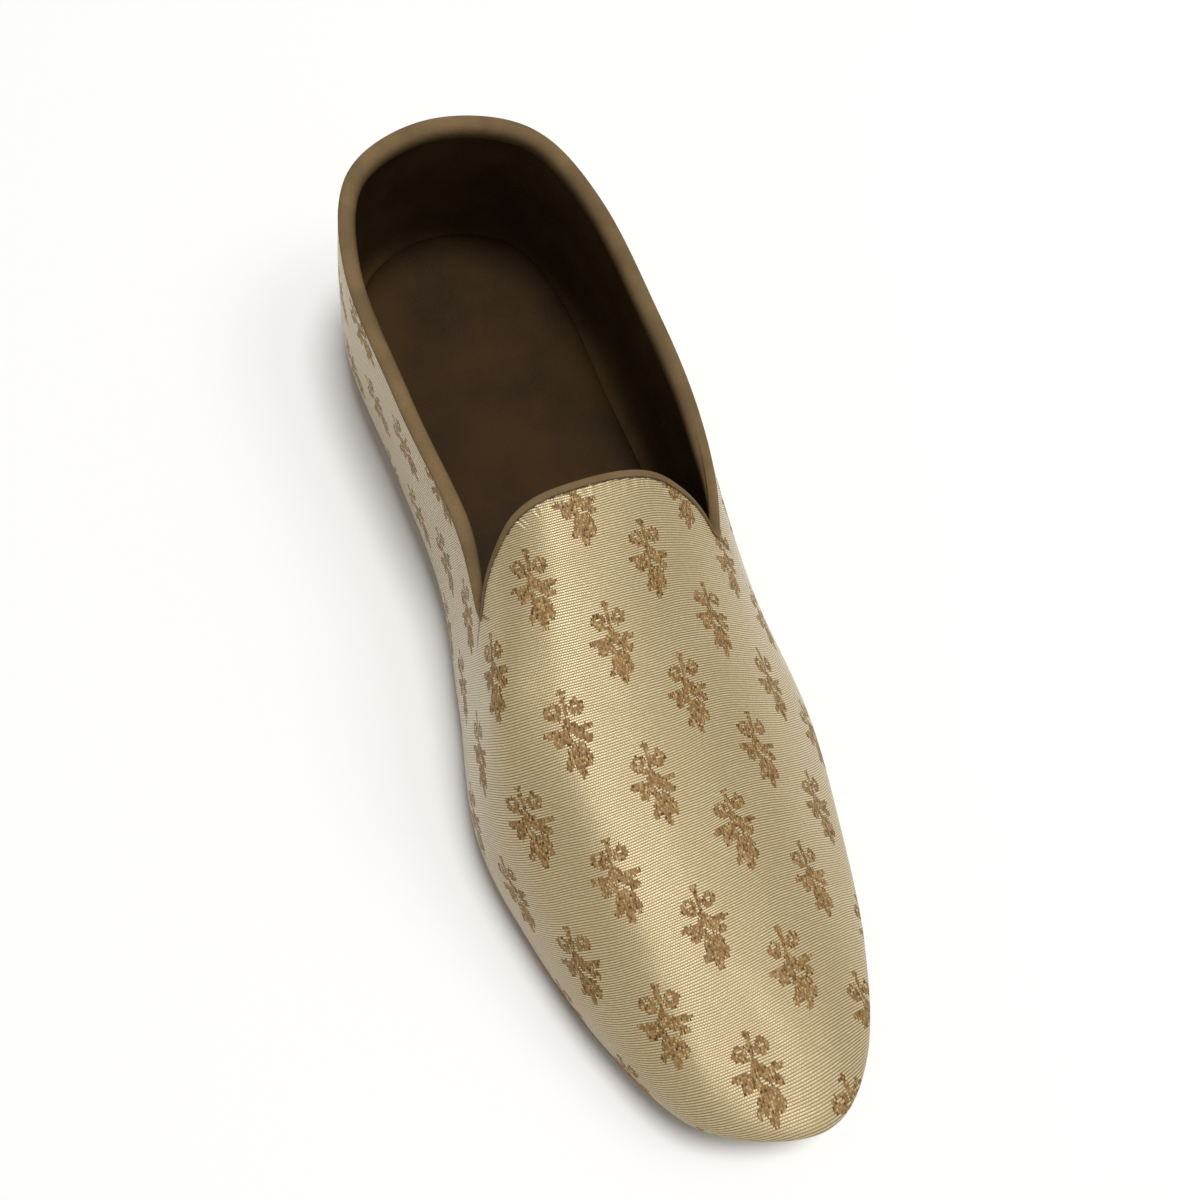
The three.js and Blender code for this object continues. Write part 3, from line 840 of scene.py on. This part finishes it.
def lining_material():
    """Dark brown lining leather with a taupe facing round the opening."""
    n = Nodes("lining_leather", 0.85, 0.15)
    place = n.place()
    grain = n.noise(place, 1.6, 5.0, 0.6)
    blotch = n.noise(place, 0.05, 3.0)
    dark = n.mix(n.ramp(blotch, 0.3, 0.7), srgb(66, 47, 27), srgb(88, 66, 40))
    dark = n.tint(dark, (104, 80, 50), grain, 0.4, 0.8, 0.0, 0.35)
    facing = n.mix(n.ramp(grain, 0.3, 0.7), srgb(100, 79, 50), srgb(84, 65, 40))
    edge = n.math("ADD", n.value("rim"), n.math("MULTIPLY", blotch, 1.5))
    share = n.ramp(edge, 6.0, 10.0, 0.7, 0.0)
    n.bump(n.math("MULTIPLY", grain, 0.06))
    return n.colour(n.mix(share, dark, facing))


def sock_material():
    """The insole's dark brown leather, its roughness varying in blotches."""
    n = Nodes("sock_leather", 0.8, 0.12)
    place = n.place()
    grain = n.noise(place, 2.0, 5.0, 0.6)
    blotch = n.noise(place, 0.04, 3.0)
    colour = n.mix(n.ramp(blotch, 0.3, 0.7), srgb(40, 26, 12), srgb(58, 41, 20))
    colour = n.tint(colour, (76, 56, 30), grain, 0.45, 0.8, 0.0, 0.35)
    n.bump(n.math("MULTIPLY", grain, 0.05))
    n.feed(n.shader.inputs["Roughness"], n.ramp(blotch, 0.3, 0.7, 0.7, 0.85))
    return n.colour(colour)


def sole_material():
    """Natural cream sole leather with fibres along its length and a brown stained edge."""
    n = Nodes("sole_leather", 0.72)
    place = n.place()
    stretched = n.node("ShaderNodeMapping", {"Vector": place, "Scale": (0.25, 1.0, 1.0)}).outputs[0]
    fibre = n.noise(stretched, 0.9, 6.0, 0.65)
    blotch = n.noise(place, 0.035, 4.0, 0.55)
    speck = n.noise(place, 0.55, 1.0)
    colour = n.mix(n.ramp(blotch, 0.3, 0.7), srgb(224, 211, 172), srgb(210, 192, 150))
    colour = n.tint(colour, (188, 166, 118), fibre, 0.35, 0.75, 0.0, 0.55)
    colour = n.tint(colour, (236, 224, 188), fibre, 0.3, 0.15, 0.0, 0.5)
    colour = n.tint(colour, (110, 84, 50), speck, 0.83, 0.86)
    rough_edge = n.math("ADD", n.value("inset"), n.centred(fibre, 0.9))
    stain = n.mix(n.ramp(blotch, 0.35, 0.65), srgb(116, 70, 30), srgb(158, 98, 46))
    colour = n.mix(n.ramp(rough_edge, 0.35, 0.9, 1.0, 0.0), colour, stain)
    n.bump(n.math("MULTIPLY", fibre, 0.12))
    return n.colour(colour)


def heel_material():
    """Orange brown sheet rubber, finely pitted and specked, with painted shade on its side walls."""
    n = Nodes("heel_rubber", 0.68, 0.2)
    place = n.place()
    outward = n.node("ShaderNodeNewGeometry").outputs["Normal"]
    grain = n.noise(place, 2.4, 5.0, 0.7)
    blotch = n.noise(place, 0.06, 3.0)
    speck = n.noise(place, 0.7, 1.0)
    colour = n.mix(n.ramp(blotch, 0.3, 0.7), srgb(158, 101, 50), srgb(147, 93, 46))
    colour = n.tint(colour, (130, 80, 38), grain, 0.45, 0.8, 0.0, 0.5)
    colour = n.tint(colour, (196, 120, 60), speck, 0.82, 0.85)
    colour = n.tint(colour, (60, 38, 24), speck, 0.2, 0.17)
    pale = n.noise(n.vector("ADD", place, (40.0, 0.0, 0.0)), 1.0, 0.0)
    colour = n.tint(colour, (228, 214, 190), pale, 0.86, 0.88)
    # Painted shade: the side walls darker than the faces that look up or down.
    wall = n.math("ABSOLUTE", n.split(outward)[2])
    colour = n.tint(colour, (112, 70, 32), wall, 0.3, 0.8, 0.4, 0.0)
    scuff = n.noise(place, 0.35, 6.0, 0.75)
    n.bump(n.math("ADD", n.math("MULTIPLY", grain, 0.08), n.math("MULTIPLY", scuff, 0.08)))
    return n.colour(colour)


# Pieces

collar_line, vamp_line = topline()


def upper():
    """The brocade: one cloth from the topline down to the sole, with a seam at the heel's back."""
    points, faces = last_surface(CLOTH_RIBS, CLOTH_STEPS, 0.0)
    seam = np.arange(len(points)) < CLOTH_STEPS
    points = shouldered(points, faces)
    seam_line = points[seam].copy()
    points[seam] -= SEAM_DEPTH * normals_of(points, faces)[seam]
    rows = np.column_stack([points, seam])
    rows, faces, _, _ = clip(rows, faces, in_opening(points, EDGE_INSET))
    places = rows[:, :3]
    piece = add_object("brocade_upper", places, faces, ["upper"], brocade_material())
    near, run = distance_to(places, collar_line, vamp_line)
    to_vamp, vamp_run = distance_to(places, vamp_line)
    lap = VAMP_LAP_SHARE + (1 - VAMP_LAP_SHARE) * end_share(vamp_run, BINDING_TAPER)
    on_vamp = to_vamp < near + 0.01
    add_values(piece, "rim", near)
    add_values(piece, "run", run)
    add_values(piece, "band", np.where(on_vamp, VAMP_SECTION[0][1] * lap, COLLAR_SECTION[0][1]))
    back, back_run = distance_to(places, resample(seam_line, 0.5))
    add_values(piece, "back", back)
    add_values(piece, "back_run", back_run)
    unfold(piece, rows[:, 3] > 0.99, places)


# The stretch of the vamp that the flat cloth is turned to fit, and one in how many edges is measured.
VAMP_FLAT = (150, 240)
EDGE_SAMPLE = 37


def unfold(piece, seam, places):
    """Lays the cloth flat as its UV, in millimetres: u to the outer side, v to the toe. The flat
    cloth comes out turned, mirrored and scaled at will, so it is fitted to the vamp seen from above."""
    mesh = piece.data
    shape = bmesh.new()
    shape.from_mesh(mesh)
    for edge in shape.edges:
        edge.seam = bool(seam[edge.verts[0].index] and seam[edge.verts[1].index])
    shape.to_mesh(mesh)
    shape.free()
    mesh.uv_layers.new(name="weave")
    bpy.context.view_layer.objects.active = piece
    piece.select_set(True)
    bpy.ops.object.mode_set(mode="EDIT")
    bpy.ops.mesh.select_all(action="SELECT")
    bpy.ops.uv.unwrap(method="ANGLE_BASED", margin=0.0)
    bpy.ops.object.mode_set(mode="OBJECT")
    piece.select_set(False)
    layer = mesh.uv_layers["weave"].uv
    flat = np.empty(2 * len(layer))
    layer.foreach_get("vector", flat)
    flat = flat[0::2] + 1j * flat[1::2]
    corner = np.empty(len(mesh.loops), int)
    mesh.loops.foreach_get("vertex_index", corner)
    x, y = places[corner, 0], places[corner, 1]
    on_vamp = (x > VAMP_FLAT[0]) & (x < VAMP_FLAT[1])
    want = (y + 1j * x)[on_vamp]
    fits = []
    for shape_of in (flat, flat.conj()):
        chosen = shape_of[on_vamp]
        turn = np.vdot(chosen - chosen.mean(), want - want.mean())
        turn /= np.vdot(chosen - chosen.mean(), chosen - chosen.mean())
        error = np.abs((chosen - chosen.mean()) * turn - (want - want.mean())).mean()
        fits.append((error, turn, shape_of))
    _, turn, shape_of = min(fits, key=lambda fit: fit[0])
    edges = mesh_edges(mesh)[::EDGE_SAMPLE]
    real = [np.linalg.norm(places[a] - places[b]) for a, b in edges]
    on_cloth = np.empty(len(places), complex)
    on_cloth[corner] = shape_of
    drawn = [abs(on_cloth[a] - on_cloth[b]) for a, b in edges]
    size = np.median(np.array(real) / np.maximum(drawn, 1e-9))
    result = shape_of * turn / abs(turn) * size
    result -= result[on_vamp].mean()
    layer.foreach_set("vector", np.column_stack([result.real, result.imag]).ravel())


def mesh_edges(mesh):
    edges = np.empty(2 * len(mesh.edges), int)
    mesh.edges.foreach_get("vertices", edges)
    return edges.reshape(-1, 2)


def lining():
    """The inside of the upper's wall, facing in."""
    points, faces = last_surface(LINING_RIBS, LINING_STEPS, -WALL)
    points = shouldered(points, faces)
    faces = [tuple(reversed(face)) for face in faces]
    rows, faces, _, _ = clip(points, faces, in_opening(points, EDGE_INSET))
    piece = add_object("lining", rows, faces, [], lining_material())
    near, _ = distance_to(rows, collar_line, vamp_line)
    add_values(piece, "rim", near)


def bindings():
    """The vamp's flat band, and the collar's facing, turned over the edge in a soft inner roll."""
    material = facing_material()
    for name, line, section, roll, lap, node in (
        ("collar_edge", collar_line, COLLAR_SECTION, 0.15, 1.0, "collar_binding"),
        ("vamp_edge", vamp_line, VAMP_SECTION, 1.0, VAMP_LAP_SHARE, "vamp_binding"),
    ):
        points, faces, down = strip_along(line, section, BINDING_TAPER, roll, lap)
        piece = add_object(name, points, faces, [node], material)
        add_values(piece, "down", down)


# The sole's edges are rounded by this much, and by the second value halfway round the turn.
SOLE_ROUND, SOLE_HALF_ROUND = 0.7, 0.2


def outsole():
    """The leather sole, its edges rounded."""
    low, high = underside, sole_top
    turn, half = SOLE_ROUND, SOLE_HALF_ROUND
    rings = [
        (8.0, low), (3.0, low), (1.5, low), (turn, low), (half, lambda x: low(x) + half),
        (0.0, lambda x: low(x) + turn), (0.0, lambda x: high(x) - turn),
        (half, lambda x: high(x) - half), (turn, high),
    ]
    points, faces = sole_plate(rings)
    piece = add_object("leather_sole", points, faces, ["outsole"], sole_material())
    add_values(piece, "inset", np.repeat([ring[0] for ring in rings], SOLE_POINTS))


def insole():
    """The sock inside, a little crowned at its edge."""
    inset = FEATHER_INSET + WALL + 2 * GAP
    top = INSOLE_THICKNESS
    rings = [
        (inset, upper_foot), (inset - 0.3, lambda x: upper_foot(x) + top - 1.0),
        (inset - 0.1, lambda x: upper_foot(x) + top - 0.35),
        (inset + 0.5, lambda x: upper_foot(x) + top), (inset + 3, lambda x: upper_foot(x) + top),
    ]
    points, faces = sole_plate(rings)
    add_object("sock_lining", points, faces, ["insole"], sock_material())


# The size written on the heel by hand: a figure 8 in one stroke, in millimetres to the right and up,
# with its top towards the back of the heel, and its own lean.
INK_THICKNESS = 0.03
INK_WIDTH = 0.8
FIGURE_LEAN = math.radians(11)
FIGURE_FROM_FRONT = 23
FIGURE = [
    (0.25, 2.46), (-1.97, 4.43), (-2.3, 6.5), (-0.66, 7.1), (2.3, 7.0), (5.0, 5.5), (3.4, 3.85),
    (0.25, 2.46), (-2.62, 0.16), (-4.5, -3.1), (-3.6, -5.7), (-0.66, -7.3), (1.64, -6.0),
    (3.77, -3.3), (3.93, -1.15), (2.46, 0.98),
]


def size_mark():
    """The figure as a flat ribbon of ink on the heel's underside."""
    t = np.arange(FIGURE_POINTS) / FIGURE_POINTS
    middle, slope = closed_curve(FIGURE, t)
    slope /= np.linalg.norm(slope, axis=1, keepdims=True)
    across = np.column_stack([-slope[:, 1], slope[:, 0]])
    width = INK_WIDTH * (1 + 0.12 * np.sin(2 * math.pi * t * 3) + 0.05 * np.sin(2 * math.pi * t * 17))
    edge = station(np.linspace(-0.5, 0.5, 2001))[0]
    at = HEEL_LENGTH - FIGURE_FROM_FRONT
    heel_y = edge[np.abs(edge[:, 0] - at) < 2, 1]
    centre = np.array([at, (heel_y.min() + heel_y.max()) / 2])
    up = np.array([-math.cos(FIGURE_LEAN), math.sin(FIGURE_LEAN)])
    right = np.array([-up[1], up[0]])
    rings = []
    for side, z in ((-0.5, INK_THICKNESS), (-0.5, 0), (0.5, 0), (0.5, INK_THICKNESS)):
        flat = middle + across * (width * side)[:, None]
        place = centre + flat[:, :1] * right + flat[:, 1:] * up
        rings.append(np.column_stack([place, np.full(len(place), z)]))
    points, faces = loft(rings)
    n = Nodes("ink", 0.5)
    patchy = n.noise(n.place(), 0.9, 3.0)
    ink = n.mix(n.ramp(patchy, 0.35, 0.7), srgb(88, 48, 50), srgb(66, 38, 36))
    add_object("size_mark", points, faces, [], n.colour(ink))


# How far the heel lift's edges are eased.
HEEL_EASE = 0.5


def heel():
    """The heel lift: the sole's outline as far as its front, with cut corners and eased edges."""
    edge = station(np.linspace(-0.5, 0.5, 4001))[0]
    corner_start = HEEL_LENGTH - HEEL_CORNER
    outline = edge[edge[:, 0] < corner_start][::8][::-1]
    inner, outer = outline[0], outline[-1]
    front = [
        (corner_start, outer[1]), (HEEL_LENGTH, outer[1] - HEEL_CORNER),
        (HEEL_LENGTH, inner[1] + HEEL_CORNER), (corner_start, inner[1]),
    ]
    outline = np.vstack([outline, front])
    count = len(outline)
    heights = (INK_THICKNESS, HEEL_HEIGHT)
    points = np.vstack([np.column_stack([outline, np.full(count, z)]) for z in heights])
    faces = [tuple(range(count)), tuple(range(2 * count - 1, count - 1, -1))]
    faces += [(i, count + i, count + (i + 1) % count, (i + 1) % count) for i in range(count)]
    piece = add_object("heel_lift", points, faces, ["heel"], heel_material())
    bevel = piece.modifiers.new("eased", "BEVEL")
    bevel.width = HEEL_EASE / 1000
    bevel.segments = 2
    bevel.angle_limit = math.radians(35)


upper()
lining()
bindings()
outsole()
insole()
heel()
size_mark()


# Camera: the photo's own place, turned just enough to look at this one shoe. The photo's lens is
# 35 mm on the same sensor, and this one is a little longer.

PHOTO_AZIMUTH = math.radians(71.047)
PHOTO_ELEVATION = math.radians(67.444)
PHOTO_ROLL = math.radians(-0.5)
PHOTO_DISTANCE = 289.927
PHOTO_TARGET = np.array([136.397, -55.858, 98.268])
LENS = 40
SENSOR = 36


def photo_camera():
    """The camera at the photo's place, turned from its own aim to the middle of the shoe."""
    level = math.cos(PHOTO_ELEVATION)
    back = Vector((
        math.sin(PHOTO_AZIMUTH) * level, -math.cos(PHOTO_AZIMUTH) * level, math.sin(PHOTO_ELEVATION),
    ))
    place = Vector(metres(PHOTO_TARGET + np.array(back) * PHOTO_DISTANCE))
    aim = (-back).to_track_quat("-Z", "Y") @ Quaternion((0, 0, 1), PHOTO_ROLL)
    middle = (Vector(cad_box[0]) + Vector(cad_box[1])) / 2
    turn = (-back).rotation_difference(middle - place)
    data = bpy.data.cameras.new("camera")
    data.lens = LENS
    data.sensor_width = SENSOR
    data.clip_start = 0.01
    camera = bpy.data.objects.new("camera", data)
    bpy.context.scene.collection.objects.link(camera)
    camera.location = place
    camera.rotation_mode = "QUATERNION"
    camera.rotation_quaternion = turn @ aim
    bpy.context.scene.camera = camera


photo_camera()


def ball_of(radius):
    """A ball's mesh, for the plain backdrop all round."""
    shape = bmesh.new()
    bmesh.ops.create_uvsphere(shape, u_segments=48, v_segments=24, radius=radius)
    mesh = bpy.data.meshes.new("backdrop")
    shape.to_mesh(mesh)
    shape.free()
    return mesh


# The floor and backdrop reach this far, in metres. The floor lies just under the sole's flat spots.
STAGE_REACH = 8
FLOOR_SUNK = 0.00005


def studio():
    """A pale floor and backdrop, a pale world, a soft key overhead and a fill from the outer side."""
    scene = bpy.context.scene
    scene.view_settings.view_transform = "Standard"
    world = bpy.data.worlds.new("studio")
    scene.world = world
    world.use_nodes = True
    world.node_tree.nodes["Background"].inputs["Color"].default_value = (1, 0.99, 0.97, 1)
    world.node_tree.nodes["Background"].inputs["Strength"].default_value = 0.28
    mesh = bpy.data.meshes.new("floor")
    sides = ((-1, -1), (1, -1), (1, 1), (-1, 1))
    corners = [(x * STAGE_REACH, y * STAGE_REACH, -FLOOR_SUNK) for x, y in sides]
    mesh.from_pydata(corners, [], [(0, 1, 2, 3)])
    floor = bpy.data.objects.new("floor", mesh)
    mesh.materials.append(plain_material("floor", (0.88, 0.88, 0.87), 0.8))
    backdrop = bpy.data.objects.new("backdrop", ball_of(STAGE_REACH))
    glow = plain_material("backdrop", (0, 0, 0), 1)
    glow.node_tree.nodes["Principled BSDF"].inputs["Emission Color"].default_value = (1, 1, 0.99, 1)
    glow.node_tree.nodes["Principled BSDF"].inputs["Emission Strength"].default_value = 0.92
    backdrop.data.materials.append(glow)
    for ray in ("diffuse", "glossy", "transmission", "volume_scatter", "shadow"):
        setattr(backdrop, "visible_" + ray, False)
    for stage in (floor, backdrop):
        scene.collection.objects.link(stage)
    for name, place, kind, width, power in (
        ("key", (-0.1, 0.15, 1.45), "SUN", math.radians(20), 2.35),
        ("fill", (0.1, 0.65, 1.3), "AREA", 0.5, 3.0),
    ):
        light = bpy.data.lights.new(name, kind)
        if kind == "SUN":
            light.angle = width
        else:
            light.size = width
        light.energy = power
        lamp = bpy.data.objects.new(name, light)
        scene.collection.objects.link(lamp)
        lamp.location = place
        lamp.rotation_mode = "QUATERNION"
        lamp.rotation_quaternion = (-Vector(place)).to_track_quat("-Z", "Y")


studio()
